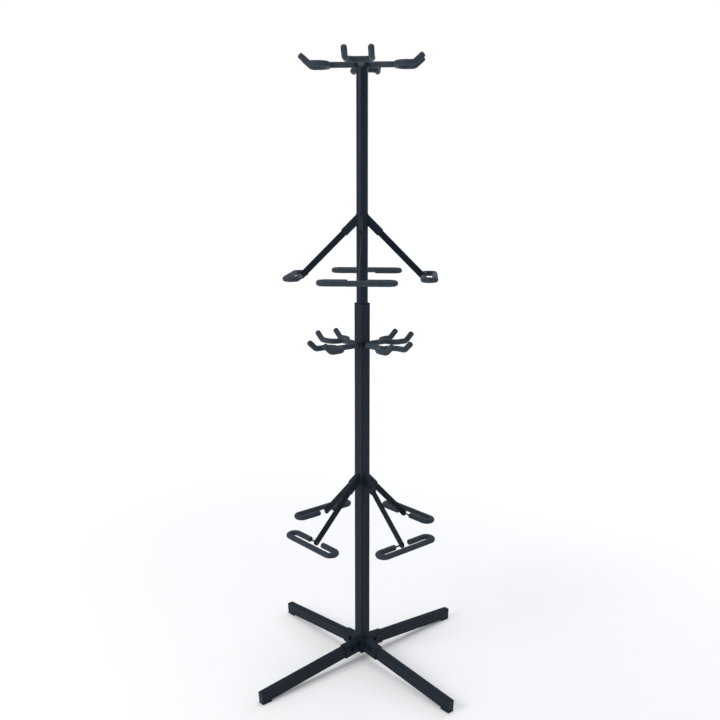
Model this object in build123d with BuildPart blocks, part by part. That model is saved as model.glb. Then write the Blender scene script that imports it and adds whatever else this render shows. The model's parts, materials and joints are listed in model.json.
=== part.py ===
from build123d import *
import math
import os

# Floor-standing guitar rack for eight instruments, in millimetres, +Z up.
# The origin is on the floor at the axis of the post.
# The upper tier faces along the X and Y axes, the lower tier and the legs along the diagonals.

# Post: a square lower tube, and a round upper tube on a joiner
POST_SIDE = 40
POST_WALL = 2
POST_CORNER = 3
POST_FOOT = 28
LOWER_POST_TOP = 1345
UPPER_POST_DIAMETER = 40
UPPER_POST_TOP = 2150
JOINER_FLANGE = 4
JOINER_SPIGOT = 90
JOINER_CORNER = 2
JOINER_CHAMFER = 1.5
JOINER_SCREW_DEPTH = 45
JOINER_SCREW_LENGTH = 12
PLUG_CLEARANCE = 0.1
CAP_FLANGE = 3
CAP_PLUG = 18
CAP_WALL = 2
CAP_DOME = 3
CAP_FILLET = 4
PLUG_CORNER = 1
EDGE_CHAMFER = 0.8

# Legs: rectangular tubes that slope down to their feet, in sockets welded to the post
LEG_WIDTH = 25
LEG_HEIGHT = 40
LEG_WALL = 2
LEG_CORNER = 3
LEG_REACH = 460
LEG_ROOT = 24
LEG_SLOPE = 5
LEG_BORE_CORNER = 1
LEG_FLANGE = 3
FOOT_THICKNESS = 2
FOOT_LENGTH = 38
FOOT_SETBACK = 1
SOCKET_WALL = 3
SOCKET_CLEARANCE = 0.25
SOCKET_BORE_CORNER = 2
SOCKET_REACH = 92

# Leg bolts: M8 hexagon bolts across each socket
BOLT_DIAMETER = 8
BOLT_HOLE = 8.4
BOLT_RADIUS = 57
BOLT_HEAD_FLATS = 13
BOLT_HEAD = 5.3
NUT_HEIGHT = 6.8
BOLT_TAIL = 2.5

# Neck yokes: a steel fork under a foam cover, the same in both tiers
UPPER_YOKE_HEIGHT = 2137.5
LOWER_YOKE_HEIGHT = 1200.5
YOKE_ROD = 10
YOKE_FOAM = 20
YOKE_COLLAR = 17
YOKE_COLLAR_LENGTH = 4
YOKE_COLLAR_FILLET = 1.5
YOKE_ARM_STEP = 0.4
YOKE_CROSSBAR = 112
YOKE_HALF_GAP = 42
YOKE_CORNER = 30
YOKE_BEND = 172
YOKE_BEND_RADIUS = 18
YOKE_TIP = 203
YOKE_TIP_RISE = 27
YOKE_TIP_COVER = 4
YOKE_TIP_FILLET = 7

# Body rests: a flat bar in a socket, falling at 45 degrees, with a padded loop at its tip
UPPER_REST_HEIGHT = 1652
LOWER_REST_HEIGHT = 732
REST_SLOPE = 45
REST_BAR_HEIGHT = 22
REST_BAR_THICKNESS = 5
REST_SOCKET_HEIGHT = 28
REST_SOCKET_CORNER = 1.5
REST_SOCKET_WIDTH = 11
REST_SOCKET_END = 88.5
REST_BAR_START = 40
REST_CLEARANCE = 0.15
PIVOT_RADIUS = 211
SCREW_DIAMETER = 5
SCREW_PLACE = 62
SCREW_HEAD = 9
SCREW_HEAD_HEIGHT = 3
SCREW_HEAD_FILLET = 1.8
SCREW_HEX_RADIUS = 1.6
SCREW_HEX_DEPTH = 1.5
SCREW_TAIL = 1

# Rest loops: a steel rod bent into an open loop, padded all along except at the pivot
LOOP_ROD = 6
LOOP_FOAM = 19.6
LOOP_FOAM_FILLET = 5
LOOP_WIDTH = 40
LOOP_HALF_LENGTH = 122
LOOP_BEND_RADIUS = 19.5
LOOP_FOAM_START = 32
LOOP_FREE_END = 32
LOOP_ROD_TAIL = 4
PIVOT_CLEARANCE = 0.05
PIVOT_HEAD = 10
PIVOT_HEAD_HEIGHT = 2
PIVOT_HEAD_CHAMFER = 0.4
PIVOT_GAP = 0.3
SAME_RADIUS = 0.01

POST_FACE = POST_SIDE / 2
UPPER_TIER = {"front": 270, "right": 0, "back": 90, "left": 180}
LOWER_TIER = {"front_left": 225, "front_right": 315, "back_right": 45, "back_left": 135}

os.makedirs("parts", exist_ok=True)


def write(part, name, angle=0, height=0):
    """Turn a finished piece about the post, lift it, label it and write its STEP file."""
    placed = part.moved(Location((0, 0, height), (0, 0, angle)))
    placed.label = name
    export_step(placed, f"parts/{name}.step")


def write_group(part, name, places):
    """Write copies of one piece as a group of separate solids, at (angle, height) places."""
    copies = [part.moved(Location((0, 0, height), (0, 0, angle))) for angle, height in places]
    group = Compound(label=name, children=[solid for copy in copies for solid in copy.solids()])
    export_step(group, f"parts/{name}.step")


# ---------------------------------------------------------------- post

LOWER_SCREW_HEIGHT = LOWER_POST_TOP - JOINER_SCREW_DEPTH
UPPER_POST_FOOT = LOWER_POST_TOP + JOINER_FLANGE
UPPER_SCREW_HEIGHT = UPPER_POST_FOOT + JOINER_SCREW_DEPTH
POST_BORE = POST_SIDE - 2 * POST_WALL
SQUARE_PLUG = POST_BORE - 2 * PLUG_CLEARANCE
ROUND_PLUG = UPPER_POST_DIAMETER - 2 * POST_WALL - 2 * PLUG_CLEARANCE
LOWER_POST_FOOT = POST_FOOT + CAP_FLANGE

# Square tube, its corners to the front, back and sides
with BuildPart() as post_lower:
    with BuildSketch(Plane.XY.offset(LOWER_POST_FOOT)):
        RectangleRounded(POST_SIDE, POST_SIDE, POST_CORNER, rotation=45)
        RectangleRounded(POST_BORE, POST_BORE, POST_CORNER - POST_WALL, rotation=45, mode=Mode.SUBTRACT)
    extrude(amount=LOWER_POST_TOP - LOWER_POST_FOOT)
    with BuildSketch(Plane((0, 0, LOWER_SCREW_HEIGHT), z_dir=(1, 1, 0))):
        Circle(SCREW_DIAMETER / 2 + REST_CLEARANCE)
    extrude(amount=POST_SIDE, mode=Mode.SUBTRACT)
write(post_lower.part, "post_lower")

# Round tube of the same width, above the joiner
with BuildPart() as post_upper:
    with BuildSketch(Plane.XY.offset(UPPER_POST_FOOT)):
        Circle(UPPER_POST_DIAMETER / 2)
        Circle(UPPER_POST_DIAMETER / 2 - POST_WALL, mode=Mode.SUBTRACT)
    extrude(amount=UPPER_POST_TOP - UPPER_POST_FOOT)
    with BuildSketch(Plane((0, 0, UPPER_SCREW_HEIGHT), z_dir=(0, 1, 0))):
        Circle(SCREW_DIAMETER / 2 + REST_CLEARANCE)
    extrude(amount=UPPER_POST_DIAMETER, mode=Mode.SUBTRACT)
write(post_upper.part, "post_upper")

# Joiner: a square spigot below, a round one above, and a flange that both tubes stand on
with BuildPart() as post_joiner:
    with BuildSketch(Plane.XY.offset(LOWER_POST_TOP - JOINER_SPIGOT)):
        RectangleRounded(SQUARE_PLUG, SQUARE_PLUG, JOINER_CORNER, rotation=45)
    extrude(amount=JOINER_SPIGOT)
    with BuildSketch(Plane.XY.offset(LOWER_POST_TOP)):
        RectangleRounded(POST_SIDE, POST_SIDE, POST_CORNER, rotation=45)
    extrude(amount=JOINER_FLANGE)
    with BuildSketch(Plane.XY.offset(UPPER_POST_FOOT)):
        Circle(ROUND_PLUG / 2)
    extrude(amount=JOINER_SPIGOT)
    chamfer(post_joiner.faces().sort_by(Axis.Z)[0].edges(), JOINER_CHAMFER)
    chamfer(post_joiner.faces().sort_by(Axis.Z)[-1].edges(), JOINER_CHAMFER)
    with BuildSketch(Plane((0, 0, LOWER_SCREW_HEIGHT), z_dir=(1, 1, 0))):
        Circle(SCREW_DIAMETER / 2)
    extrude(amount=POST_SIDE, mode=Mode.SUBTRACT)
    with BuildSketch(Plane((0, 0, UPPER_SCREW_HEIGHT), z_dir=(0, 1, 0))):
        Circle(SCREW_DIAMETER / 2)
    extrude(amount=UPPER_POST_DIAMETER, mode=Mode.SUBTRACT)
write(post_joiner.part, "post_joiner")

# Two button-head screws hold the tubes to the joiner, on the sides away from the front
with BuildPart() as joiner_screw:
    with BuildSketch(Plane.YZ.offset(POST_FACE)):
        Circle(SCREW_HEAD / 2)
    extrude(amount=SCREW_HEAD_HEIGHT)
    fillet(joiner_screw.faces().sort_by(Axis.X)[-1].edges(), SCREW_HEAD_FILLET)
    with BuildSketch(Plane.YZ.offset(POST_FACE + SCREW_HEAD_HEIGHT)):
        RegularPolygon(SCREW_HEX_RADIUS, 6)
    extrude(amount=-SCREW_HEX_DEPTH, mode=Mode.SUBTRACT)
    with BuildSketch(Plane.YZ.offset(POST_FACE)):
        Circle(SCREW_DIAMETER / 2)
    extrude(amount=-JOINER_SCREW_LENGTH)
write_group(joiner_screw.part, "joiner_screws", [(45, LOWER_SCREW_HEIGHT), (90, UPPER_SCREW_HEIGHT)])

# Moulded cap on the top of the upper tube: a low dome and a hollow plug
with BuildPart() as post_cap:
    with BuildSketch(Plane.XY.offset(UPPER_POST_TOP)):
        Circle(UPPER_POST_DIAMETER / 2)
    extrude(amount=CAP_FLANGE + CAP_DOME)
    fillet(post_cap.faces().sort_by(Axis.Z)[-1].edges(), CAP_FILLET)
    with BuildSketch(Plane.XY.offset(UPPER_POST_TOP)):
        Circle(ROUND_PLUG / 2)
        Circle(ROUND_PLUG / 2 - CAP_WALL, mode=Mode.SUBTRACT)
    extrude(amount=-CAP_PLUG)
write(post_cap.part, "post_cap")

# Moulded plug in the foot of the lower tube, clear of the floor
square_plug_bore = SQUARE_PLUG - 2 * CAP_WALL
with BuildPart() as post_foot_plug:
    with BuildSketch(Plane.XY.offset(POST_FOOT)):
        RectangleRounded(POST_SIDE, POST_SIDE, POST_CORNER, rotation=45)
    extrude(amount=CAP_FLANGE)
    chamfer(post_foot_plug.faces().sort_by(Axis.Z)[0].edges(), EDGE_CHAMFER)
    with BuildSketch(Plane.XY.offset(LOWER_POST_FOOT)):
        RectangleRounded(SQUARE_PLUG, SQUARE_PLUG, PLUG_CORNER, rotation=45)
        Rectangle(square_plug_bore, square_plug_bore, rotation=45, mode=Mode.SUBTRACT)
    extrude(amount=CAP_PLUG)
write(post_foot_plug.part, "post_foot_plug")


# ---------------------------------------------------------------- legs, along +X before they are turned

slope = math.radians(LEG_SLOPE)
# Middle line of a leg: at the tip the underside stands one foot thickness above the floor
LEG_TIP_HEIGHT = FOOT_THICKNESS + LEG_HEIGHT / 2 / math.cos(slope)


def leg_axis_height(radius):
    """Height of a leg's middle line at a distance from the post's axis."""
    return LEG_TIP_HEIGHT + (LEG_REACH - radius) * math.tan(slope)


def leg_plane(radius):
    """Plane across a leg at a radius: x is across the leg, y is up, z runs out along it."""
    return Plane(
        (radius, 0, leg_axis_height(radius)),
        x_dir=(0, 1, 0),
        z_dir=(math.cos(slope), 0, -math.sin(slope)),
    )


def along_leg(distance):
    """Length along the sloping leg that covers a horizontal distance."""
    return distance / math.cos(slope)


leg_end = LEG_REACH - LEG_FLANGE
leg_bore_width = LEG_WIDTH - 2 * LEG_WALL
leg_bore_height = LEG_HEIGHT - 2 * LEG_WALL
bolt_plane = Plane((BOLT_RADIUS, 0, leg_axis_height(BOLT_RADIUS)), z_dir=(0, -1, 0))

with BuildPart() as leg_socket:
    with BuildSketch(leg_plane(0)):
        RectangleRounded(LEG_WIDTH + 2 * SOCKET_WALL, LEG_HEIGHT + 2 * SOCKET_WALL, LEG_CORNER)
        RectangleRounded(
            LEG_WIDTH + 2 * SOCKET_CLEARANCE,
            LEG_HEIGHT + 2 * SOCKET_CLEARANCE,
            SOCKET_BORE_CORNER,
            mode=Mode.SUBTRACT,
        )
    extrude(amount=along_leg(SOCKET_REACH))
    # Cut flush with the face of the post
    split(bisect_by=Plane((POST_FACE, 0, 0), z_dir=(1, 0, 0)), keep=Keep.TOP)
    with BuildSketch(bolt_plane):
        Circle(BOLT_HOLE / 2)
    extrude(amount=LEG_WIDTH, both=True, mode=Mode.SUBTRACT)

with BuildPart() as leg:
    with BuildSketch(leg_plane(LEG_ROOT)):
        RectangleRounded(LEG_WIDTH, LEG_HEIGHT, LEG_CORNER)
        RectangleRounded(leg_bore_width, leg_bore_height, LEG_BORE_CORNER, mode=Mode.SUBTRACT)
    extrude(amount=along_leg(leg_end - LEG_ROOT))
    with BuildSketch(bolt_plane):
        Circle(BOLT_HOLE / 2)
    extrude(amount=LEG_WIDTH, both=True, mode=Mode.SUBTRACT)

# End cap: a plug in the tube, a flange over its end, and a wedge-shaped foot pad below
PAD_INNER = LEG_REACH - FOOT_LENGTH
PAD_OUTER = LEG_REACH - FOOT_SETBACK
leg_underside = LEG_HEIGHT / 2 / math.cos(slope)
with BuildPart() as leg_cap:
    with BuildSketch(leg_plane(leg_end)):
        RectangleRounded(LEG_WIDTH, LEG_HEIGHT, LEG_CORNER)
    extrude(amount=along_leg(LEG_FLANGE))
    chamfer(leg_cap.faces().sort_by(Axis.X)[-1].edges(), EDGE_CHAMFER)
    with BuildSketch(leg_plane(leg_end)):
        plug_width = LEG_WIDTH - 2 * LEG_WALL - 2 * PLUG_CLEARANCE
        plug_height = LEG_HEIGHT - 2 * LEG_WALL - 2 * PLUG_CLEARANCE
        RectangleRounded(plug_width, plug_height, PLUG_CORNER)
        Rectangle(plug_width - 2 * CAP_WALL, plug_height - 2 * CAP_WALL, mode=Mode.SUBTRACT)
    extrude(amount=-CAP_PLUG)
    with BuildSketch(Plane.XZ.offset(-LEG_WIDTH / 2)):
        with BuildLine():
            Polyline(
                (PAD_INNER, 0),
                (PAD_OUTER, 0),
                (PAD_OUTER, leg_axis_height(PAD_OUTER) - leg_underside),
                (PAD_INNER, leg_axis_height(PAD_INNER) - leg_underside),
                close=True,
            )
        make_face()
    extrude(amount=LEG_WIDTH)

# Bolt across a socket: its head is on the side that a person in front sees first
socket_side = LEG_WIDTH / 2 + SOCKET_WALL
bolt_length = 2 * socket_side + NUT_HEIGHT + BOLT_TAIL
with BuildPart() as leg_bolt:
    with BuildSketch(bolt_plane.offset(socket_side)):
        RegularPolygon(BOLT_HEAD_FLATS / 2, 6, major_radius=False)
    extrude(amount=BOLT_HEAD)
    with BuildSketch(bolt_plane.offset(socket_side)):
        Circle(BOLT_DIAMETER / 2)
    extrude(amount=-bolt_length)
    chamfer(leg_bolt.faces().sort_by(Axis.Y)[-1].edges(), EDGE_CHAMFER)

with BuildPart() as leg_nut:
    with BuildSketch(bolt_plane.offset(-socket_side)):
        RegularPolygon(BOLT_HEAD_FLATS / 2, 6, major_radius=False)
        Circle(BOLT_DIAMETER / 2, mode=Mode.SUBTRACT)
    extrude(amount=-NUT_HEIGHT)

for side, angle in LOWER_TIER.items():
    write(leg.part, f"leg_{side}", angle)
    write(leg_cap.part, f"leg_cap_{side}", angle)
leg_places = [(angle, 0) for angle in LOWER_TIER.values()]
write_group(leg_socket.part, "leg_sockets", leg_places)
write_group(leg_bolt.part, "leg_bolts", leg_places)
write_group(leg_nut.part, "leg_nuts", leg_places)


# ---------------------------------------------------------------- neck yokes, along +X

rise = YOKE_TIP_RISE
yoke_route = [
    (YOKE_TIP, -YOKE_HALF_GAP, rise),
    (YOKE_BEND, -YOKE_HALF_GAP, 0),
    (YOKE_CROSSBAR, -YOKE_HALF_GAP, 0),
    (YOKE_CROSSBAR, YOKE_HALF_GAP, 0),
    (YOKE_BEND, YOKE_HALF_GAP, 0),
    (YOKE_TIP, YOKE_HALF_GAP, rise),
]
tip_run = math.hypot(YOKE_TIP - YOKE_BEND, rise)
tip_direction = ((YOKE_BEND - YOKE_TIP) / tip_run, 0, -rise / tip_run)
yoke_radii = [YOKE_BEND_RADIUS, YOKE_CORNER, YOKE_CORNER, YOKE_BEND_RADIUS]


def yoke_fork(root, diameter):
    """A fork bent from one rod, and its slightly thinner arm, as a solid."""
    with BuildPart() as fork:
        with BuildLine():
            FilletPolyline(*yoke_route, radius=yoke_radii)
        with BuildSketch(Plane(yoke_route[0], z_dir=tip_direction)):
            Circle(diameter / 2)
        sweep()
        with BuildSketch(Plane.YZ.offset(root)):
            Circle((diameter - YOKE_ARM_STEP) / 2)
        extrude(amount=YOKE_CROSSBAR - root)
    return fork.part


def shorten(solid_part, amount):
    """Cut both tips of a fork back by an amount, square to the tips."""
    with BuildPart() as short:
        add(solid_part)
        end = Vector(*yoke_route[0]) + Vector(*tip_direction) * amount
        split(bisect_by=Plane(end, z_dir=tip_direction), keep=Keep.TOP)
    return short.part


# The steel core: fork, arm and the collar that is welded to the post
FOAM_ROOT = POST_FACE + YOKE_COLLAR_LENGTH
core_fork = shorten(yoke_fork(FOAM_ROOT, YOKE_ROD), YOKE_TIP_COVER)
full_foam = yoke_fork(FOAM_ROOT, YOKE_FOAM)

with BuildPart() as yoke_foam:
    add(full_foam)
    tips = yoke_foam.faces().filter_by(GeomType.PLANE).sort_by(Axis.Z)[-2:]
    fillet(tips.edges(), YOKE_TIP_FILLET)
    add(core_fork, mode=Mode.SUBTRACT)

yoke_cores = {}
for tier in ("upper", "lower"):
    with BuildPart() as yoke_core:
        with BuildSketch(Plane.YZ.offset(POST_FACE / 2)):
            Circle(YOKE_COLLAR / 2)
        extrude(amount=FOAM_ROOT - POST_FACE / 2)
        fillet(yoke_core.faces().sort_by(Axis.X)[-1].edges(), YOKE_COLLAR_FILLET)
        if tier == "upper":
            with BuildSketch(Plane.XY.offset(-YOKE_COLLAR)):
                Circle(UPPER_POST_DIAMETER / 2)
            extrude(amount=2 * YOKE_COLLAR, mode=Mode.SUBTRACT)
        else:
            split(bisect_by=Plane((POST_FACE, 0, 0), z_dir=(1, 0, 0)), keep=Keep.TOP)
        add(core_fork)
    yoke_cores[tier] = yoke_core.part

tiers = {
    "upper": (UPPER_TIER, UPPER_YOKE_HEIGHT, UPPER_REST_HEIGHT),
    "lower": (LOWER_TIER, LOWER_YOKE_HEIGHT, LOWER_REST_HEIGHT),
}
for tier, (sides, yoke_height, rest_height) in tiers.items():
    for side, angle in sides.items():
        write(yoke_cores[tier], f"yoke_{tier}_{side}", angle, yoke_height)
        write(yoke_foam.part, f"yoke_foam_{tier}_{side}", angle, yoke_height)


# ---------------------------------------------------------------- body rests, along +X

fall = math.radians(REST_SLOPE)
rest_direction = (math.cos(fall), 0, -math.sin(fall))
rest_plane = Plane((0, 0, 0), x_dir=(0, 1, 0), z_dir=rest_direction)
pivot_place = PIVOT_RADIUS / math.cos(fall)
pivot = Vector(PIVOT_RADIUS, 0, -PIVOT_RADIUS * math.tan(fall))
screw = Vector(*rest_direction) * SCREW_PLACE
screw_plane = Plane(screw, z_dir=(0, -1, 0))

rest_sockets = {}
for tier in ("upper", "lower"):
    with BuildPart() as rest_socket:
        with BuildSketch(rest_plane):
            RectangleRounded(REST_SOCKET_WIDTH, REST_SOCKET_HEIGHT, REST_SOCKET_CORNER)
            Rectangle(
                REST_BAR_THICKNESS + 2 * REST_CLEARANCE,
                REST_BAR_HEIGHT + 2 * REST_CLEARANCE,
                mode=Mode.SUBTRACT,
            )
        extrude(amount=REST_SOCKET_END)
        if tier == "upper":
            with BuildSketch(Plane.XY.offset(-2 * POST_SIDE)):
                Circle(UPPER_POST_DIAMETER / 2)
            extrude(amount=4 * POST_SIDE, mode=Mode.SUBTRACT)
        else:
            split(bisect_by=Plane((POST_FACE, 0, 0), z_dir=(1, 0, 0)), keep=Keep.TOP)
        with BuildSketch(screw_plane):
            Circle(SCREW_DIAMETER / 2 + REST_CLEARANCE)
        extrude(amount=REST_SOCKET_WIDTH, both=True, mode=Mode.SUBTRACT)
    rest_sockets[tier] = rest_socket.part

# Flat bar on edge, with a fully rounded tip that the loop's rod passes through
with BuildPart() as rest_arm:
    with BuildSketch(Plane((0, 0, 0), x_dir=rest_direction, z_dir=(0, -1, 0))):
        with Locations(((REST_BAR_START + pivot_place) / 2, 0)):
            Rectangle(pivot_place - REST_BAR_START, REST_BAR_HEIGHT)
        with Locations((pivot_place, 0)):
            Circle(REST_BAR_HEIGHT / 2)
            Circle(LOOP_ROD / 2 + PIVOT_CLEARANCE, mode=Mode.SUBTRACT)
        with Locations((SCREW_PLACE, 0)):
            Circle(SCREW_DIAMETER / 2 + REST_CLEARANCE, mode=Mode.SUBTRACT)
    extrude(amount=REST_BAR_THICKNESS / 2, both=True)

# Button-head screw across a socket, with a short tail on the far side
with BuildPart() as rest_screw:
    with BuildSketch(screw_plane.offset(REST_SOCKET_WIDTH / 2)):
        Circle(SCREW_HEAD / 2)
    extrude(amount=SCREW_HEAD_HEIGHT)
    fillet(rest_screw.faces().sort_by(Axis.Y)[0].edges(), SCREW_HEAD_FILLET)
    with BuildSketch(screw_plane.offset(REST_SOCKET_WIDTH / 2 + SCREW_HEAD_HEIGHT)):
        RegularPolygon(SCREW_HEX_RADIUS, 6)
    extrude(amount=-SCREW_HEX_DEPTH, mode=Mode.SUBTRACT)
    with BuildSketch(screw_plane.offset(REST_SOCKET_WIDTH / 2)):
        Circle(SCREW_DIAMETER / 2)
    extrude(amount=-REST_SOCKET_WIDTH - SCREW_TAIL)


# ---------------------------------------------------------------- rest loops, about the pivot

def loop_point(across, out):
    """Point on the loop's middle line: across the arm, and out from the pivot."""
    return pivot + Vector(out, across, 0)


def loop_bar(start, end, diameter):
    """The open loop from a start to an end on its inner side, as a rod of one diameter."""
    with BuildPart() as bar:
        with BuildLine():
            FilletPolyline(
                loop_point(start, 0),
                loop_point(-LOOP_HALF_LENGTH, 0),
                loop_point(-LOOP_HALF_LENGTH, LOOP_WIDTH),
                loop_point(LOOP_HALF_LENGTH, LOOP_WIDTH),
                loop_point(LOOP_HALF_LENGTH, 0),
                loop_point(end, 0),
                radius=LOOP_BEND_RADIUS,
            )
        with BuildSketch(Plane(loop_point(start, 0), z_dir=(0, -1, 0))):
            Circle(diameter / 2)
        sweep()
    return bar.part


head_inner = REST_BAR_THICKNESS / 2 + PIVOT_GAP
loop_rod_end = LOOP_FREE_END + LOOP_ROD_TAIL
with BuildPart() as rest_loop:
    add(loop_bar(head_inner + PIVOT_HEAD_HEIGHT, loop_rod_end, LOOP_ROD))
    # A head and a collar keep the rod in the bar's eye
    for side in (-1, 1):
        with BuildSketch(Plane(pivot + Vector(0, side * head_inner, 0), z_dir=(0, side, 0))):
            Circle(PIVOT_HEAD / 2)
        extrude(amount=PIVOT_HEAD_HEIGHT)
    circles = rest_loop.edges().filter_by(GeomType.CIRCLE)
    heads = circles.filter_by(lambda edge: abs(edge.radius - PIVOT_HEAD / 2) < SAME_RADIUS)
    chamfer(heads, PIVOT_HEAD_CHAMFER)

with BuildPart() as loop_foam:
    add(loop_bar(-LOOP_FOAM_START, LOOP_FREE_END, LOOP_FOAM))
    fillet(loop_foam.faces().filter_by(GeomType.PLANE).edges(), LOOP_FOAM_FILLET)
    add(loop_bar(0, loop_rod_end, LOOP_ROD), mode=Mode.SUBTRACT)

screw_places = []
for tier, (sides, yoke_height, rest_height) in tiers.items():
    places = [(angle, rest_height) for angle in sides.values()]
    write_group(rest_sockets[tier], f"rest_sockets_{tier}", places)
    screw_places += places
    for side, angle in sides.items():
        write(rest_arm.part, f"rest_arm_{tier}_{side}", angle, rest_height)
        write(rest_loop.part, f"rest_loop_{tier}_{side}", angle, rest_height)
        write(loop_foam.part, f"loop_foam_{tier}_{side}", angle, rest_height)
write_group(rest_screw.part, "rest_screws", screw_places)
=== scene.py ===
import json
import math

import bmesh
import bpy
from mathutils import Matrix, Vector, noise


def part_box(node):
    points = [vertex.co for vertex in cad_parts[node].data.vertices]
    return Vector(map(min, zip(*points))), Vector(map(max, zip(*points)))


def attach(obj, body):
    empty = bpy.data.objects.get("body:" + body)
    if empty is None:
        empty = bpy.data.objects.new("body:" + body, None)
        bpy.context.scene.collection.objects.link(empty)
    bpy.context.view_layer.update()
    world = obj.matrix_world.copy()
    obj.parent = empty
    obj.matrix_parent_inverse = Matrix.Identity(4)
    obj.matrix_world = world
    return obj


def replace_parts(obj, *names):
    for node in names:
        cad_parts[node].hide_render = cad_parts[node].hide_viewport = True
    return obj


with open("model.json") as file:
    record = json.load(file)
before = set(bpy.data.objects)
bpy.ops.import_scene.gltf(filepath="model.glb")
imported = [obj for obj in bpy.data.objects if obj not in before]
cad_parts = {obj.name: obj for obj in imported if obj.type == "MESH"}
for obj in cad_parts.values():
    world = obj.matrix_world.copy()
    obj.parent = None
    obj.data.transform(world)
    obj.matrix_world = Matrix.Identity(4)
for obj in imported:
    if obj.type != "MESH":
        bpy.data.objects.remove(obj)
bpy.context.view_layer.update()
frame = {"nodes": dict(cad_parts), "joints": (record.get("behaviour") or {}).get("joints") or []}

nodes = frame["nodes"]
scene = bpy.context.scene


# ---------------------------------------------------------------- camera
# A camera at head height, about three metres in front of the rack and a little to its right.
# It looks slightly down, so the legs open out into a fan at the floor.

CAMERA_PITCH = 11.2151
CAMERA_TURN = 4.20155

camera = bpy.data.objects.new("camera", bpy.data.cameras.new("camera"))
camera.data.sensor_width = 36
camera.data.lens = 41.761
camera.data.shift_x = -0.003024
camera.location = (0.21154, -2.87961, 1.718096)
camera.rotation_euler = (math.radians(90 - CAMERA_PITCH), 0, math.radians(CAMERA_TURN))
scene.collection.objects.link(camera)
scene.camera = camera
scene.view_settings.view_transform = "Standard"


# ---------------------------------------------------------------- room and lights
# A matt white floor that runs out into an evenly lit white room, as in a product studio.
# A wide soft light on the left is the stronger one, so left-hand faces are lighter.

def linear(code):
    """An sRGB hex colour as a linear RGBA colour."""
    parts = [int(code[i:i + 2], 16) / 255 for i in (0, 2, 4)]
    return (*[c / 12.92 if c <= 0.04045 else ((c + 0.055) / 1.055) ** 2.4 for c in parts], 1)


def add(tree, kind, settings, inputs):
    """Add a shader node with its settings; each input is a value or the socket that feeds it."""
    node = tree.nodes.new("ShaderNode" + kind)
    for name, value in settings.items():
        setattr(node, name, value)
    for key, value in inputs.items():
        if isinstance(value, bpy.types.NodeSocket):
            tree.links.new(value, node.inputs[key])
        else:
            node.inputs[key].default_value = value
    return node


def new_material(name):
    """An empty node material: its tree, and the Principled shader that it ends in."""
    material = bpy.data.materials.new(name)
    material.use_nodes = True
    tree = material.node_tree
    tree.nodes.clear()
    shader = add(tree, "BsdfPrincipled", {}, {})
    add(tree, "OutputMaterial", {}, {"Surface": shader.outputs[0]})
    return material, tree, shader


FLOOR_SIZE = 60
FLOOR_NEAR = 0.6       # from here outwards the floor takes over the room's own white
FLOOR_FAR = 5
GLOW_NEAR = 0.10
GLOW_FAR = 0.66

mesh = bpy.data.meshes.new("floor")
half = FLOOR_SIZE / 2
mesh.from_pydata([(-half, -half, 0), (half, -half, 0), (half, half, 0), (-half, half, 0)], [], [(0, 1, 2, 3)])
floor = bpy.data.objects.new("floor", mesh)
scene.collection.objects.link(floor)
# Painted plaster: pale and matt, with a little light of its own so that it meets the white room
floor_paint, tree, shader = new_material("matt_white_floor_paint")
shader.inputs["Base Color"].default_value = linear("f4f4f3")
shader.inputs["Roughness"].default_value = 0.9
shader.inputs["Specular IOR Level"].default_value = 0.1
shader.inputs["Emission Color"].default_value = linear("ffffff")
place = add(tree, "TexCoord", {}, {}).outputs["Object"]
distance = add(tree, "VectorMath", {"operation": "LENGTH"}, {0: place})
fade = add(tree, "MapRange", {"interpolation_type": "SMOOTHSTEP"}, {
    0: distance.outputs["Value"], 1: FLOOR_NEAR, 2: FLOOR_FAR, 3: GLOW_NEAR, 4: GLOW_FAR})
tree.links.new(fade.outputs[0], shader.inputs["Emission Strength"])
floor.data.materials.append(floor_paint)

ROOM_SEEN = 1.0
ROOM_LIGHT = 0.42

world = bpy.data.worlds.new("white_room")
world.use_nodes = True
scene.world = world
tree = world.node_tree
tree.nodes.clear()
path = add(tree, "LightPath", {}, {})
seen = add(tree, "Background", {}, {"Color": linear("ffffff"), "Strength": ROOM_SEEN})
light = add(tree, "Background", {}, {"Color": linear("f2f6ff"), "Strength": ROOM_LIGHT})
room = add(tree, "MixShader", {}, {0: path.outputs["Is Camera Ray"], 1: light.outputs[0], 2: seen.outputs[0]})
add(tree, "OutputWorld", {}, {"Surface": room.outputs[0]})

AIM = Vector((0, 0, 1.1))
# name: place, size, watts, colour
soft_boxes = {
    "key_left": ((-3.2, -2.6, 2.9), 2.4, 101, "ffffff"),
    "fill_right": ((3.4, -2.2, 2.0), 2.2, 12, "f4f8ff"),
    "overhead": ((0.2, 0.6, 4.6), 3.0, 70, "ffffff"),
    "back_right": ((2.6, 3.2, 2.6), 1.6, 30, "f4f8ff"),
}
for name, (place, size, watts, colour) in soft_boxes.items():
    lamp = bpy.data.lights.new(name, "AREA")
    lamp.shape = "DISK"
    lamp.size = size
    lamp.energy = watts
    lamp.color = linear(colour)[:3]
    soft_box = bpy.data.objects.new(name, lamp)
    soft_box.location = place
    soft_box.rotation_euler = (AIM - Vector(place)).to_track_quat("-Z", "Y").to_euler()
    scene.collection.objects.link(soft_box)


# ---------------------------------------------------------------- post
# A square steel tube with a round one above it on a hidden joiner, and a moulded cap or plug at each end.
# The tubes are welded and cut steel, powder coated in one dark blue-grey.

# Powder coat, sprayed and baked: a satin skin with the fine ripple of orange peel, and faint dust on top
PEEL = 0.0030      # ripple of the baked skin; really about 1 mm, drawn coarser so that it shows
GRAIN = 0.0009     # pigment grain
MOTTLE = 0.16      # slow changes of tone along a tube
MOTTLE_LIFT = 1.35
DUST = 0.012       # patches of dust
DUST_AMOUNT = 0.10
DUST_ROUGHNESS = 0.8
PEEL_DEPTH = 0.00025
GRAIN_DEPTH = 0.00006


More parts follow.
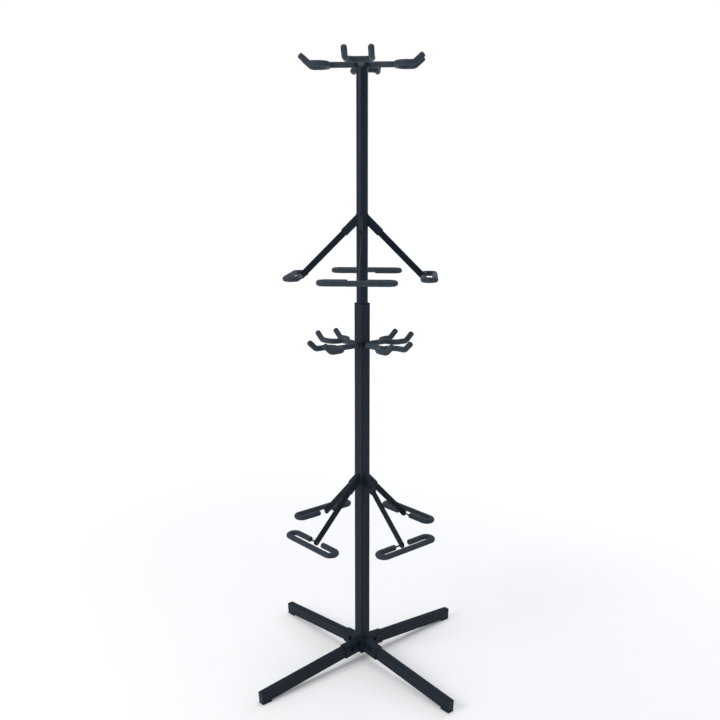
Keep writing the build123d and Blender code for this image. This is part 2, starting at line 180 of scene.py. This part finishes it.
def powder_coat(name, colour, dusty, roughness, shine):
    """Powder-coated steel: base tone, mottle and dust in colour; peel and grain in relief."""
    material, tree, shader = new_material(name)
    place = add(tree, "TexCoord", {}, {}).outputs["Object"]
    mottle = add(tree, "TexNoise", {}, {"Vector": place, "Scale": 1 / MOTTLE, "Detail": 3.0})
    tone = add(tree, "MapRange", {}, {0: mottle.outputs["Fac"], 1: 0.3, 2: 0.7, 3: 0.0, 4: 1.0})
    light_colour = tuple(MOTTLE_LIFT * c for c in linear(colour)[:3]) + (1,)
    coat = add(tree, "Mix", {"data_type": "RGBA"}, {0: tone.outputs[0], 6: linear(colour), 7: light_colour})
    # Dust gathers on faces that look up
    normal = add(tree, "SeparateXYZ", {}, {0: add(tree, "TexCoord", {}, {}).outputs["Normal"]})
    up = add(tree, "MapRange", {}, {0: normal.outputs["Z"], 1: 0.45, 2: 1.0, 3: 0.0, 4: 1.0})
    patches = add(tree, "TexNoise", {}, {
        "Vector": place, "Scale": 1 / DUST, "Detail": 4.0, "Roughness": 0.65})
    spread = add(tree, "MapRange", {}, {0: patches.outputs["Fac"], 1: 0.42, 2: 0.72, 3: 0.25, 4: 1.0})
    dust = add(tree, "Math", {"operation": "MULTIPLY"}, {0: up.outputs[0], 1: spread.outputs[0]})
    dust = add(tree, "Math", {"operation": "MULTIPLY"}, {0: dust.outputs[0], 1: DUST_AMOUNT})
    dusted = add(tree, "Mix", {"data_type": "RGBA"}, {
        0: dust.outputs[0], 6: coat.outputs[2], 7: linear(dusty)})
    peel = add(tree, "TexNoise", {}, {"Vector": place, "Scale": 1 / PEEL, "Detail": 1.0})
    grain = add(tree, "TexNoise", {}, {"Vector": place, "Scale": 1 / GRAIN, "Detail": 2.0})
    rough = add(tree, "MapRange", {}, {
        0: grain.outputs["Fac"], 1: 0.3, 2: 0.7, 3: roughness - 0.06, 4: roughness + 0.08})
    rougher = add(tree, "MapRange", {}, {
        0: dust.outputs[0], 1: 0.0, 2: DUST_AMOUNT, 3: rough.outputs[0], 4: DUST_ROUGHNESS})
    ripple = add(tree, "Bump", {}, {"Height": peel.outputs["Fac"], "Distance": PEEL_DEPTH, "Strength": 0.5})
    skin = add(tree, "Bump", {}, {
        "Height": grain.outputs["Fac"], "Distance": GRAIN_DEPTH, "Strength": 0.6,
        "Normal": ripple.outputs[0]})
    shader.inputs["IOR"].default_value = 1.5
    shader.inputs["Specular IOR Level"].default_value = shine
    for name, value in {"Base Color": dusted.outputs[2], "Roughness": rougher.outputs[0],
                        "Normal": skin.outputs[0]}.items():
        tree.links.new(value, shader.inputs[name])
    return material


def paint(material, *names):
    """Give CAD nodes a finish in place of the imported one."""
    for name in names:
        for slot in nodes[name].material_slots:
            slot.material = material


tube_coat = powder_coat("powder_coated_steel_tube", "061521", "4d565e", 0.5, 0.2)
paint(tube_coat, "post_lower", "post_upper")

# Polyamide, injection moulded: matt black with the fine spark texture of the mould
SPARK = 0.0011     # spark texture; really about 0.1 mm, drawn coarser so that it shows
FLOW = 0.02        # flow marks of the melt

moulding, tree, shader = new_material("moulded_black_polyamide")
place = add(tree, "TexCoord", {}, {}).outputs["Object"]
spark = add(tree, "TexNoise", {}, {"Vector": place, "Scale": 1 / SPARK, "Detail": 3.0, "Roughness": 0.6})
flow = add(tree, "TexNoise", {}, {"Vector": place, "Scale": 1 / FLOW, "Detail": 2.0, "Distortion": 1.2})
tone = add(tree, "Mix", {"data_type": "RGBA"}, {
    0: flow.outputs["Fac"], 6: linear("09131d"), 7: linear("111d29")})
rough = add(tree, "MapRange", {}, {0: spark.outputs["Fac"], 1: 0.3, 2: 0.7, 3: 0.5, 4: 0.68})
relief = add(tree, "Bump", {}, {"Height": spark.outputs["Fac"], "Distance": 0.0001, "Strength": 0.7})
shader.inputs["IOR"].default_value = 1.53
shader.inputs["Specular IOR Level"].default_value = 0.25
tree.links.new(tone.outputs[2], shader.inputs["Base Color"])
tree.links.new(rough.outputs[0], shader.inputs["Roughness"])
tree.links.new(relief.outputs[0], shader.inputs["Normal"])
paint(moulding, "post_cap", "post_foot_plug")

# Aluminium, turned and black anodised: a thin dark oxide over the fine rings of the tool
TOOL_RING = 0.0008     # spacing of the rings; really about 0.2 mm, drawn coarser so that it shows

anodised, tree, shader = new_material("black_anodised_aluminium")
place = add(tree, "TexCoord", {}, {}).outputs["Object"]
long_way = add(tree, "Mapping", {}, {"Vector": place, "Scale": (0.05, 0.05, 1)})
rings = add(tree, "TexNoise", {}, {"Vector": long_way.outputs[0], "Scale": 1 / TOOL_RING, "Detail": 2.0})
tone = add(tree, "Mix", {"data_type": "RGBA"}, {
    0: rings.outputs["Fac"], 6: linear("14181c"), 7: linear("23282d")})
relief = add(tree, "Bump", {}, {"Height": rings.outputs["Fac"], "Distance": 0.00004, "Strength": 0.5})
shader.inputs["Metallic"].default_value = 1
shader.inputs["Roughness"].default_value = 0.32
tree.links.new(tone.outputs[2], shader.inputs["Base Color"])
tree.links.new(relief.outputs[0], shader.inputs["Normal"])
paint(anodised, "post_joiner")

# Steel screws, zinc plated and blackened: dark metal, a little brighter where a tool has rubbed
RUB = 0.0016           # specks of wear

black_zinc, tree, shader = new_material("black_zinc_plated_steel")
place = add(tree, "TexCoord", {}, {}).outputs["Object"]
rub = add(tree, "TexNoise", {}, {"Vector": place, "Scale": 1 / RUB, "Detail": 5.0, "Roughness": 0.7})
worn = add(tree, "MapRange", {}, {0: rub.outputs["Fac"], 1: 0.52, 2: 0.72, 3: 0.0, 4: 1.0})
tone = add(tree, "Mix", {"data_type": "RGBA"}, {0: worn.outputs[0], 6: linear("2a2d31"), 7: linear("55595e")})
rough = add(tree, "MapRange", {}, {0: worn.outputs[0], 1: 0.0, 2: 1.0, 3: 0.42, 4: 0.3})
relief = add(tree, "Bump", {}, {"Height": rub.outputs["Fac"], "Distance": 0.00005, "Strength": 0.5})
shader.inputs["Metallic"].default_value = 1
tree.links.new(tone.outputs[2], shader.inputs["Base Color"])
tree.links.new(rough.outputs[0], shader.inputs["Roughness"])
tree.links.new(relief.outputs[0], shader.inputs["Normal"])
paint(black_zinc, "joiner_screws")


# ---------------------------------------------------------------- legs
# Four rectangular steel tubes that slope to the floor, each slid into a socket welded to the post.
# An M8 bolt crosses each socket, and a moulded cap closes the end and carries a wedge-shaped foot pad.

SIDES = {
    "lower": {"front_left": 225, "front_right": 315, "back_right": 45, "back_left": 135},
    "upper": {"front": 270, "right": 0, "back": 90, "left": 180},
}
paint(tube_coat, "leg_sockets", *[f"leg_{side}" for side in SIDES["lower"]])
paint(moulding, *[f"leg_cap_{side}" for side in SIDES["lower"]])

POST_FACE = 0.020
BEAD_RADIUS = 0.0021
BEAD_RIPPLE = 0.0032       # one stacked puddle of weld metal to the next
BEAD_STEP = 0.0008
BEAD_SIDES = 12
BEAD_WANDER = 260          # turns of the bead's slow unevenness in a metre


def place_piece(name, mesh, angle, offset, body):
    """Put a finished mesh at its side of the rack and let it ride on a body."""
    piece = bpy.data.objects.new(name, mesh)
    scene.collection.objects.link(piece)
    piece.matrix_world = Matrix.Rotation(math.radians(angle), 4, "Z") @ Matrix.Translation(offset)
    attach(piece, body)
    return piece


def ring_of(mesh_edit, centre, across, up, radii):
    """A ring of vertices about a centre, one for each radius."""
    turn = 2 * math.pi / len(radii)
    return [
        mesh_edit.verts.new(centre + (across * math.cos(k * turn) + up * math.sin(k * turn)) * radius)
        for k, radius in enumerate(radii)
    ]


def bridge(mesh_edit, ring_a, ring_b):
    """Quads between two rings."""
    count = len(ring_a)
    for k in range(count):
        mesh_edit.faces.new((ring_a[k], ring_a[(k + 1) % count], ring_b[(k + 1) % count], ring_b[k]))


def finished(mesh_edit, name, material, smooth=True):
    """Turn an edited mesh into mesh data with its material, smooth or with its facets."""
    bmesh.ops.recalc_face_normals(mesh_edit, faces=mesh_edit.faces)
    mesh = bpy.data.meshes.new(name)
    mesh_edit.to_mesh(mesh)
    mesh_edit.free()
    mesh.polygons.foreach_set("use_smooth", [smooth] * len(mesh.polygons))
    mesh.materials.append(material)
    return mesh


def weld_bead(name, outline):
    """A closed fillet weld along an outline, with the ripple of its stacked puddles."""
    points = []
    for start, end in zip(outline, outline[1:] + outline[:1]):
        steps = max(1, round((end - start).length / BEAD_STEP))
        points += [start.lerp(end, i / steps) for i in range(steps)]
    edit = bmesh.new()
    rings = []
    travelled = 0
    for i, point in enumerate(points):
        ahead = points[(i + 1) % len(points)]
        along = (ahead - points[i - 1]).normalized()
        across = along.cross(Vector((1, 0, 0))).normalized()
        puddle = abs(math.sin(math.pi * travelled / BEAD_RIPPLE))
        wander = noise.noise(point * BEAD_WANDER)
        radius = BEAD_RADIUS * (0.86 + 0.16 * puddle + 0.12 * wander)
        rings.append(ring_of(edit, point, across, along.cross(across), [radius] * BEAD_SIDES))
        travelled += (ahead - point).length
    for ring_a, ring_b in zip(rings, rings[1:] + rings[:1]):
        bridge(edit, ring_a, ring_b)
    return finished(edit, name, tube_coat)


def rectangle(half_width, half_height, corner, face):
    """A rounded rectangle on the post: y across, z up, and x from the shape of the post's face."""
    points = []
    corner_steps = 4
    for side_y, side_z, start in ((1, 1, 0), (-1, 1, 90), (-1, -1, 180), (1, -1, 270)):
        for step in range(corner_steps + 1):
            a = math.radians(start + 90 / corner_steps * step)
            y = side_y * (half_width - corner) + corner * math.cos(a)
            z = side_z * (half_height - corner) + corner * math.sin(a)
            points.append(face(y, z))
    return points


SOCKET_HALF_WIDTH = 0.0155
SOCKET_HALF_HEIGHT = 0.0231
SOCKET_CORNER = 0.003

socket_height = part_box("leg_sockets")[1].z - SOCKET_HALF_HEIGHT
leg_weld = weld_bead("leg_weld", rectangle(
    SOCKET_HALF_WIDTH, SOCKET_HALF_HEIGHT, SOCKET_CORNER, lambda y, z: Vector((POST_FACE, y, z))))
for side, angle in SIDES["lower"].items():
    place_piece(f"weld_leg_{side}", leg_weld, angle, (0, 0, socket_height), "stand")


# ---------------------------------------------------------------- leg bolts
# An M8 hexagon bolt and nut through each socket and leg, cold formed, with 30 degree chamfers on the
# corners and a rolled thread. Two turns of the thread stand out of the nut.

BOLT_RADIUS = 0.057        # from the post's axis
ACROSS_FLATS = 0.013
FACE_SHARE = 0.97          # the flat face's part of the width across flats
HEAD_FACE = 0.0052         # radius of a ring within the head's flat face
HEAD_HEIGHT = 0.0053
NUT_HEIGHT = 0.0068
NUT_EDGE = 0.0003          # the bore starts this far inside the nut
BORE_GAP = 0.0001
CHAMFER_ANGLE = 30
CHAMFER_STEP = 0.00012
CHAMFER_STEPS = 10
SHANK = 0.004
THREAD_PITCH = 0.00125
THREAD_DEPTH = 0.0004
THREAD_STEPS = 24
THREAD_HIDDEN = 0.001      # length of the thread that stays inside the nut
TAIL = 0.0025
TAIL_CHAMFER = 0.0008
BOLT_SIDES = 72
BOLT_SIDE = SOCKET_HALF_WIDTH
bolt_turn = 2 * math.pi / BOLT_SIDES


def hexagon(a, setback):
    """Radius of a chamfered hexagon at an angle, at a depth below its chamfered face."""
    flat = ACROSS_FLATS / 2 / math.cos((a + math.pi / 6) % (math.pi / 3) - math.pi / 6)
    return min(flat, ACROSS_FLATS / 2 * FACE_SHARE + setback / math.tan(math.radians(CHAMFER_ANGLE)))


def thread(a, depth):
    """Radius of the threaded shank at an angle and a depth."""
    turn = 2 * math.pi * depth / THREAD_PITCH + a
    return SHANK - THREAD_DEPTH * (0.5 - 0.5 * math.cos(turn)) ** 1.5


def bolt_ring(edit, y, radius_at, depth):
    """A ring about the bolt's axis at a place along it."""
    radii = [radius_at(bolt_turn * k, depth) for k in range(BOLT_SIDES)]
    return ring_of(edit, Vector((0, y, 0)), Vector((1, 0, 0)), Vector((0, 0, 1)), radii)


def plain(radius):
    """A round ring's radius, the same at every angle and depth."""
    return lambda a, depth: radius


chamfer_depths = [CHAMFER_STEP * i for i in range(CHAMFER_STEPS)]
head_face = -BOLT_SIDE - HEAD_HEIGHT
nut_face = BOLT_SIDE + NUT_HEIGHT
thread_length = TAIL + THREAD_HIDDEN
edit = bmesh.new()
rings = [bolt_ring(edit, head_face, plain(HEAD_FACE), 0)]
rings += [bolt_ring(edit, head_face + depth, hexagon, depth) for depth in chamfer_depths]
rings.append(bolt_ring(edit, -BOLT_SIDE, hexagon, HEAD_HEIGHT))
rings.append(bolt_ring(edit, -BOLT_SIDE, plain(SHANK), 0))
for i in range(THREAD_STEPS + 1):
    depth = thread_length * i / THREAD_STEPS
    widest = SHANK - max(0, depth - thread_length + TAIL_CHAMFER)
    rings.append(bolt_ring(
        edit, nut_face - THREAD_HIDDEN + depth, lambda a, d: min(thread(a, d), widest), depth))
for ring_a, ring_b in zip(rings, rings[1:]):
    bridge(edit, ring_a, ring_b)
edit.faces.new(rings[0])
edit.faces.new(rings[-1])
hex_bolt = finished(edit, "hex_bolt", black_zinc, smooth=False)

edit = bmesh.new()
rings = [bolt_ring(edit, BOLT_SIDE + depth, hexagon, depth) for depth in chamfer_depths]
rings += [bolt_ring(edit, nut_face - depth, hexagon, depth) for depth in reversed(chamfer_depths)]
rings += [bolt_ring(edit, y, plain(SHANK + BORE_GAP), 0) for y in (nut_face - NUT_EDGE, BOLT_SIDE + NUT_EDGE)]
for ring_a, ring_b in zip(rings, rings[1:] + rings[:1]):
    bridge(edit, ring_a, ring_b)
hex_nut = finished(edit, "hex_nut", black_zinc, smooth=False)

low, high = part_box("leg_bolts")
offset = (BOLT_RADIUS, 0, (low.z + high.z) / 2)
for side, angle in SIDES["lower"].items():
    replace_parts(place_piece(f"leg_bolt_{side}", hex_bolt, angle, offset, "stand"), "leg_bolts")
    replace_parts(place_piece(f"leg_nut_{side}", hex_nut, angle, offset, "stand"), "leg_nuts")


# ---------------------------------------------------------------- neck yokes
# A bent steel fork under a closed-cell foam sleeve: one U-shaped tube over the fork, and a straight one
# over the arm whose end is cut to a saddle against it. The fork's root is a collar welded to the post.

YOKE_FOAM = 0.010          # radius of the fork's sleeve
ARM_FOAM = 0.0098          # radius of the arm's sleeve
YOKE_BORE = 0.005
YOKE_ROOT = 0.024
YOKE_CROSSBAR = 0.112
YOKE_HALF_GAP = 0.042
YOKE_CORNER = 0.030
YOKE_BEND = 0.172
YOKE_BEND_RADIUS = 0.018
YOKE_TIP = 0.203
YOKE_TIP_RISE = 0.027
COLLAR_RADIUS = 0.0085
FOAM_SIDES = 36
FOAM_STEP = 0.0022
BEND_STEP = 2.5            # degrees from one ring to the next in a bend
FOLD_DEPTH = 0.0014        # folds pressed into a bend's inner side
BEND_PINCH = 0.0002        # the sleeve is this much slimmer in a bend
SKIN_WAVE = 0.00018        # unevenness of the skin, and its turns in a metre
SKIN_TURNS = 70
END_COVER = 0.004          # foam left over a closed end
END_EDGE = 0.006           # rounding of the fork sleeve's ends
FORK_FOLDS = 5

# Nitrile rubber foam, extruded as tube: a matt blue-grey skin with fine closed pores, painted shade in the
# pores, and a soft bloom
PORE = 0.0011              # pores; really about 0.3 mm, drawn coarser so that they show
DAPPLE = 0.011             # soft unevenness of the skin
STREAK = 0.05              # bloom in long faint streaks

foam, tree, shader = new_material("closed_cell_nitrile_foam")
place = add(tree, "TexCoord", {}, {}).outputs["Object"]
pores = add(tree, "TexVoronoi", {}, {"Vector": place, "Scale": 1 / PORE, "Randomness": 1.0})
dapple = add(tree, "TexNoise", {}, {"Vector": place, "Scale": 1 / DAPPLE, "Detail": 4.0, "Roughness": 0.6})
streak = add(tree, "TexNoise", {}, {"Vector": place, "Scale": 1 / STREAK, "Detail": 2.0})
tone = add(tree, "MapRange", {}, {0: dapple.outputs["Fac"], 1: 0.3, 2: 0.7, 3: 0.0, 4: 1.0})
skin = add(tree, "Mix", {"data_type": "RGBA"}, {
    0: tone.outputs[0], 6: linear("232c35"), 7: linear("2d3841")})
bloom = add(tree, "MapRange", {}, {0: streak.outputs["Fac"], 1: 0.45, 2: 0.75, 3: 0.0, 4: 0.35})
bloomed = add(tree, "Mix", {"data_type": "RGBA"}, {
    0: bloom.outputs[0], 6: skin.outputs[2], 7: linear("3e4850")})
pit = add(tree, "MapRange", {}, {0: pores.outputs["Distance"], 1: 0.0, 2: 0.35, 3: 0.0, 4: 1.0})
# Painted shade in the pores: the colour is darkened at each pore, where shade would fall in its hollow
shade = add(tree, "MapRange", {}, {0: pores.outputs["Distance"], 1: 0.0, 2: 0.35, 3: 0.62, 4: 1.0})
pores_painted_shade = add(tree, "Mix", {"data_type": "RGBA", "blend_type": "MULTIPLY"}, {
    0: 1.0, 6: bloomed.outputs[2], 7: shade.outputs[0]})
soft = add(tree, "Bump", {}, {"Height": dapple.outputs["Fac"], "Distance": 0.0005, "Strength": 0.35})
relief = add(tree, "Bump", {}, {
    "Height": pit.outputs[0], "Distance": 0.00010, "Strength": 0.3, "Normal": soft.outputs[0]})
shader.inputs["Roughness"].default_value = 0.78
shader.inputs["IOR"].default_value = 1.45
shader.inputs["Specular IOR Level"].default_value = 0.3
shader.inputs["Sheen Weight"].default_value = 0.05
shader.inputs["Sheen Roughness"].default_value = 0.5
tree.links.new(pores_painted_shade.outputs[2], shader.inputs["Base Color"])
tree.links.new(relief.outputs[0], shader.inputs["Normal"])


def bent_route(corners, radii):
    """Stations along runs joined by arcs: point, direction, way to the arc's centre, place in the arc."""
    stations = []
    start = corners[0]
    for i, radius in enumerate(radii):
        corner = corners[i + 1]
        before = (corner - corners[i]).normalized()
        after = (corners[i + 2] - corner).normalized()
        angle = before.angle(after)
        reach = radius * math.tan(angle / 2)
        arc_start = corner - before * reach
        steps = max(1, round((arc_start - start).length / FOAM_STEP))
        stations += [(start.lerp(arc_start, j / steps), before, Vector(), 0) for j in range(steps)]
        inward = (after - before * before.dot(after)).normalized()
        centre = arc_start + inward * radius
        steps = max(12, round(math.degrees(angle) / BEND_STEP))
        for j in range(steps):
            a = angle * j / steps
            out = -inward * math.cos(a) + before * math.sin(a)
            along = before * math.cos(a) + inward * math.sin(a)
            stations.append((centre + out * radius, along, -out, j / steps))
        start = corner + after * reach
    steps = max(1, round((corners[-1] - start).length / FOAM_STEP))
    stations += [(start.lerp(corners[-1], j / steps), after, Vector(), 0) for j in range(steps + 1)]
    return stations


def sleeve(edit, stations, radius, bore, edge, folds, open_start):
    """A foam tube over stations, with rounded ends, a bore, and folds on the inner sides of its bends."""
    start, start_way = stations[0][:2]
    end, end_way = stations[-1][:2]

    def rounded(tip, inwards, way, a):
        """A ring of an end's rounding, at an angle from the end's flat face."""
        return tip + inwards * edge * (1 - math.cos(a)), way, Vector(), 0, radius - edge + edge * math.sin(a)

    # (point, direction, way in, place in bend, radius) of each ring of the outer skin, then of the bore
    quarter = [math.radians(a) for a in (0, 18, 36, 54, 72)]
    outer = [rounded(start, start_way, start_way, a) for a in quarter]
    outer += [(*station, radius) for station in stations
              if (station[0] - start).length > edge and (station[0] - end).length > edge]
    outer += [rounded(end, -end_way, end_way, a) for a in reversed(quarter)]
    bored = [(*station, bore) for station in stations[::3]
             if (station[0] - end).length > END_COVER
             and (open_start or (station[0] - start).length > END_COVER)]
    for skin_rings, inside in ((outer, False), (bored, True)):
        rings = []
        side = start_way.cross(Vector((0, 0, 1))).normalized()
        for point, along, inward, part, ring_radius in skin_rings:
            side = (side - along * side.dot(along)).normalized()
            rise = along.cross(side)
            radii = []
            for k in range(FOAM_SIDES):
                a = 2 * math.pi * k / FOAM_SIDES
                way = side * math.cos(a) + rise * math.sin(a)
                here = ring_radius
                if not inside:
                    bent = math.sin(math.pi * part) ** 0.5 if part > 0 else 0
                    inner = max(0, way.dot(inward)) * bent
                    fold = (0.5 + 0.5 * math.cos(2 * math.pi * folds * part)) ** 2
                    here -= FOLD_DEPTH * inner ** 1.5 * fold + BEND_PINCH * bent
                    here += SKIN_WAVE * noise.noise((point + way * radius) * SKIN_TURNS)
                radii.append(here)
            rings.append(ring_of(edit, point, side, rise, radii))
        for ring_a, ring_b in zip(rings, rings[1:]):
            bridge(edit, ring_a, ring_b)
        ends = [(rings[-1], skin_rings[-1])]
        if inside and open_start:
            bridge(edit, rings[0], outer_start)
        else:
            ends.append((rings[0], skin_rings[0]))
        if not inside:
            outer_start = rings[0]
            if open_start:
                ends.pop()
        for ring, (point, along, inward, part, ring_radius) in ends:
            pole = edit.verts.new(point)
            for k in range(FOAM_SIDES):
                edit.faces.new((ring[k], ring[(k + 1) % FOAM_SIDES], pole))


prong = [(YOKE_TIP, YOKE_TIP_RISE), (YOKE_BEND, 0), (YOKE_CROSSBAR, 0)]
fork_corners = [Vector((x, -YOKE_HALF_GAP, z)) for x, z in prong]
fork_corners += [Vector((x, YOKE_HALF_GAP, z)) for x, z in reversed(prong)]
fork_radii = [YOKE_BEND_RADIUS, YOKE_CORNER, YOKE_CORNER, YOKE_BEND_RADIUS]

edit = bmesh.new()
fork_route = bent_route(fork_corners, fork_radii)
sleeve(edit, fork_route, YOKE_FOAM, YOKE_BORE, END_EDGE, FORK_FOLDS, open_start=False)
# The arm's sleeve: rounded at the collar, and cut at the far end to the fork sleeve's round side
ROOT_EDGE = 0.0035
SADDLE_EDGE = 0.0012
ARM_STEPS = 34
ARM_WAVE = 0.00015
ARM_TURNS = 6              # turns of the arm's unevenness from root to saddle
turn = 2 * math.pi / FOAM_SIDES


def arm_ring(radius, share, shift):
    """A ring of the arm's sleeve, a share of the way from the root to the saddle, moved along by a shift."""
    ring = []
    for k in range(FOAM_SIDES):
        y, z = radius * math.cos(k * turn), radius * math.sin(k * turn)
        saddle = YOKE_CROSSBAR - math.sqrt(YOKE_FOAM ** 2 - z ** 2)
        wobble = ARM_WAVE * noise.noise(Vector((share * ARM_TURNS, y * SKIN_TURNS, z * SKIN_TURNS)))
        x = YOKE_ROOT + (saddle - YOKE_ROOT) * share + shift
        ring.append(edit.verts.new((x, y * (1 + wobble / radius), z * (1 + wobble / radius))))
    return ring


quarter = [math.radians(a) for a in (0, 22, 45, 68, 90)]
arm_rings = [arm_ring(ARM_FOAM - ROOT_EDGE * (1 - math.sin(a)), 0, ROOT_EDGE * (1 - math.cos(a)))
             for a in quarter]
arm_rings += [arm_ring(ARM_FOAM, i / ARM_STEPS, 0) for i in range(2, ARM_STEPS)]
arm_rings += [arm_ring(ARM_FOAM - SADDLE_EDGE * (1 - math.sin(a)), 1, SADDLE_EDGE * (math.cos(a) - 1))
              for a in reversed(quarter)]
arm_rings += [arm_ring(YOKE_BORE, 1, 0), arm_ring(YOKE_BORE, 0, 0)]
for ring_a, ring_b in zip(arm_rings, arm_rings[1:] + arm_rings[:1]):
    bridge(edit, ring_a, ring_b)
yoke_sleeve = finished(edit, "yoke_sleeve", foam)


def on_plane(y, z):
    """A point on the flat face of the square tube."""
    return Vector((POST_FACE, y, z))


def on_round(y, z):
    """A point on the round tube."""
    return Vector((math.sqrt(POST_FACE ** 2 - y ** 2), y, z))


circle = [(COLLAR_RADIUS * math.cos(a), COLLAR_RADIUS * math.sin(a))
          for a in [math.radians(degrees) for degrees in range(0, 360, 10)]]
collar_welds = {
    "lower": weld_bead("collar_weld_square", [on_plane(y, z) for y, z in circle]),
    "upper": weld_bead("collar_weld_round", [on_round(y, z) for y, z in circle]),
}
for tier, sides in SIDES.items():
    for side, angle in sides.items():
        name = f"yoke_foam_{tier}_{side}"
        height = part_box(name)[0].z + YOKE_FOAM
        piece = place_piece(f"yoke_sleeve_{tier}_{side}", yoke_sleeve, angle, (0, 0, height), "stand")
        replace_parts(piece, name)
        place_piece(f"weld_yoke_{tier}_{side}", collar_welds[tier], angle, (0, 0, height), "stand")
        paint(tube_coat, f"yoke_{tier}_{side}")


# ---------------------------------------------------------------- body rests
# A flat steel bar on edge, falling at 45 degrees from a socket welded to the post, held by a button-head
# screw. The bar is the same steel and coat as the post, in a slightly darker colour.

bar_coat = powder_coat("powder_coated_flat_steel_bar", "08121d", "3a4147", 0.55, 0.14)
for tier, sides in SIDES.items():
    paint(tube_coat, f"rest_sockets_{tier}")
    paint(bar_coat, *[f"rest_arm_{tier}_{side}" for side in sides])
paint(black_zinc, "rest_screws")

REST_SOCKET_HALF_WIDTH = 0.0055
REST_SOCKET_HALF_HEIGHT = 0.014 * math.sqrt(2)     # along the post, where the slope cuts it longer
REST_SOCKET_CORNER = 0.0015
pivots = {joint["child"]: Vector(joint["pos_m"]) for joint in frame["joints"]}
rest_welds = {}
for tier, face in (("lower", on_plane), ("upper", on_round)):
    outline = rectangle(
        REST_SOCKET_HALF_WIDTH, REST_SOCKET_HALF_HEIGHT, REST_SOCKET_CORNER,
        lambda y, z: face(y, z - face(y, 0).x))
    rest_welds[tier] = weld_bead(f"rest_weld_{tier}", outline)
for tier, sides in SIDES.items():
    for side, angle in sides.items():
        pivot = pivots[f"loop_{tier}_{side}"]
        height = pivot.z + math.hypot(pivot.x, pivot.y)
        place_piece(f"weld_rest_{tier}_{side}", rest_welds[tier], angle, (0, 0, height), "stand")


# ---------------------------------------------------------------- rest loops
# A thin steel rod bent into an open loop that tilts about the bar's eye, in a foam sleeve of its own.
# The sleeve leaves the rod bare beside the eye and closes over the rod's free end.

LOOP_FOAM = 0.0098
LOOP_BORE = 0.003
LOOP_WIDTH = 0.040
LOOP_HALF_LENGTH = 0.122
LOOP_BEND_RADIUS = 0.0195
LOOP_FOAM_START = 0.032
LOOP_FREE_END = 0.032
LOOP_EDGE = 0.004          # rounding of the sleeve's ends
LOOP_FOLDS = 4

# Steel rod, dipped and baked in thin black enamel: smoother and glossier than the powder coat
DRAWN = 0.0014             # drawing marks of the rod

rod_enamel, tree, shader = new_material("dip_enamelled_steel_rod")
place = add(tree, "TexCoord", {}, {}).outputs["Object"]
drawn = add(tree, "TexNoise", {}, {"Vector": place, "Scale": 1 / DRAWN, "Detail": 3.0})
tone = add(tree, "Mix", {"data_type": "RGBA"}, {
    0: drawn.outputs["Fac"], 6: linear("0c0f12"), 7: linear("171b1f")})
rough = add(tree, "MapRange", {}, {0: drawn.outputs["Fac"], 1: 0.3, 2: 0.7, 3: 0.28, 4: 0.42})
relief = add(tree, "Bump", {}, {"Height": drawn.outputs["Fac"], "Distance": 0.00005, "Strength": 0.4})
shader.inputs["IOR"].default_value = 1.5
tree.links.new(tone.outputs[2], shader.inputs["Base Color"])
tree.links.new(rough.outputs[0], shader.inputs["Roughness"])
tree.links.new(relief.outputs[0], shader.inputs["Normal"])

loop_corners = [Vector((out, across, 0)) for across, out in (
    (-LOOP_FOAM_START, 0), (-LOOP_HALF_LENGTH, 0), (-LOOP_HALF_LENGTH, LOOP_WIDTH),
    (LOOP_HALF_LENGTH, LOOP_WIDTH), (LOOP_HALF_LENGTH, 0), (LOOP_FREE_END, 0))]
edit = bmesh.new()
loop_route = bent_route(loop_corners, [LOOP_BEND_RADIUS] * 4)
sleeve(edit, loop_route, LOOP_FOAM, LOOP_BORE, LOOP_EDGE, LOOP_FOLDS, open_start=True)
loop_sleeve = finished(edit, "loop_sleeve", foam)
for tier, sides in SIDES.items():
    for side, angle in sides.items():
        body = f"loop_{tier}_{side}"
        pivot = pivots[body]
        offset = (math.hypot(pivot.x, pivot.y), 0, pivot.z)
        piece = place_piece(f"loop_sleeve_{tier}_{side}", loop_sleeve, angle, offset, body)
        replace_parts(piece, f"loop_foam_{tier}_{side}")
        paint(rod_enamel, f"rest_{body}")
